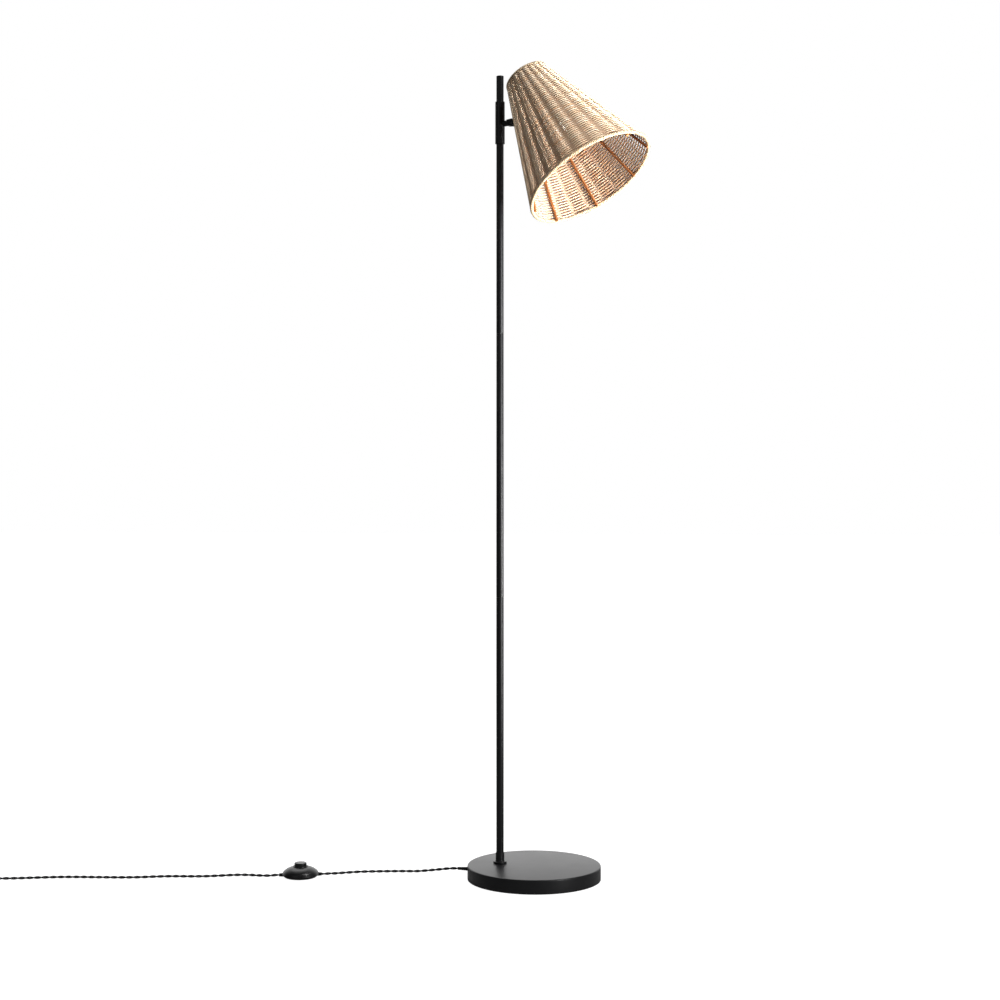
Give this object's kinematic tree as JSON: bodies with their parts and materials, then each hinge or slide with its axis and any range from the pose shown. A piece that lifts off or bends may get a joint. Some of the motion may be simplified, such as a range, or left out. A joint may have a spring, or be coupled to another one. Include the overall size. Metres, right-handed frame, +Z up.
{
  "type": "floor lamp",
  "caption": "Floor lamp: a woven rattan cone shade that swivels and tilts at the top of a slim black pole, on an off-centre round base, with a foot switch on its cord.",
  "frame": {"origin": "middle of the underside of the round base, on the floor", "axes": "+Z up along the pole, +X from the pole towards the middle of the base, which is also where the head looks when it is straight"},
  "size_m": [1.2911, 0.4966, 1.5234],
  "materials": {
    "black_paint": "satin black powder coat",
    "cement": "cast cement, rough",
    "foam_pad": "thin black foam pad",
    "zinc_steel": "zinc plated",
    "nylon": "natural nylon",
    "black_plastic": "satin black",
    "brass": "bright",
    "cord_fabric": "black braided cover on a twisted pair",
    "lead_cover": "pale insulated lead",
    "woven_cane": "natural woven rattan core",
    "dark_cane": "natural brown cane",
    "opal_glass": "opal, satin"
  },
  "bodies": {
    "stand": {"base_cover": "black_paint", "foot_flange": "black_paint", "foot_ferrule": "black_paint", "pole_lower_tube": "black_paint", "pole_middle_tube": "black_paint", "pole_upper_tube": "black_paint", "pole_top_tube": "black_paint", "pole_end_plug": "black_paint", "base_weight": "cement", "base_pad": "foam_pad", "pole_stud": "zinc_steel", "stud_nut": "zinc_steel", "pole_lower_joint": "zinc_steel", "pole_upper_joint": "zinc_steel", "sleeve_stud": "zinc_steel", "stop_ring": "zinc_steel", "switch_spring": "zinc_steel", "switch_contact_block": "nylon", "cord_relief": "black_plastic", "switch_lower_case": "black_plastic", "switch_upper_case": "black_plastic", "cord_tie": "black_plastic", "plug_body": "black_plastic", "plug_pin_left": "brass", "plug_pin_right": "brass", "cord_to_switch": "cord_fabric", "cord_from_switch": "cord_fabric", "cord_coil": "cord_fabric", "inner_lead": "lead_cover"},
    "swivel": {"swivel_sleeve": "black_paint", "bush_lower": "nylon", "bush_upper": "nylon", "hinge_screw": "black_paint", "hinge_nut": "black_paint", "neck_lead": "lead_cover"},
    "head": {"knuckle_tongue": "black_paint", "stem_nut": "zinc_steel", "stem_lead": "lead_cover", "lampholder_cup": "black_paint", "shade_fitter": "black_paint", "lampholder_body": "black_plastic", "lampholder_ring": "black_plastic", "lampholder_shell": "brass", "lampholder_contact": "brass", "bulb_cap": "brass", "shade_weave": "woven_cane", "shade_top_binding": "woven_cane", "shade_bottom_binding": "woven_cane", "shade_top_hoop": "dark_cane", "shade_bottom_hoop": "dark_cane", "shade_rib_1": "dark_cane", "shade_rib_2": "dark_cane", "shade_rib_3": "dark_cane", "shade_rib_4": "dark_cane", "shade_rib_5": "dark_cane", "shade_rib_6": "dark_cane", "shade_rib_7": "dark_cane", "shade_rib_8": "dark_cane", "bulb_glass": "opal_glass"},
    "button": {"switch_button": "black_plastic"}
  },
  "joints": [
    {"name": "head_swivel", "type": "hinge", "parent": "stand", "child": "swivel", "pos_m": [-0.0655, 0, 1.4186], "axis": [0, 0, 1], "range_deg": [-71.3, 108.7]},
    {"name": "head_tilt", "type": "hinge", "parent": "swivel", "child": "head", "pos_m": [-0.03945, -0.00882, 1.4186], "axis": [-0.3206, -0.9472, 0], "range_deg": [-20, 8]},
    {"name": "foot_switch_press", "type": "slide", "parent": "stand", "child": "button", "axis": [0, 0, -1], "range_m": [0, 0.0032], "stiffness_N_per_m": 1500, "springref_m": -0.001, "deforming": ["switch_spring"]}
  ]
}
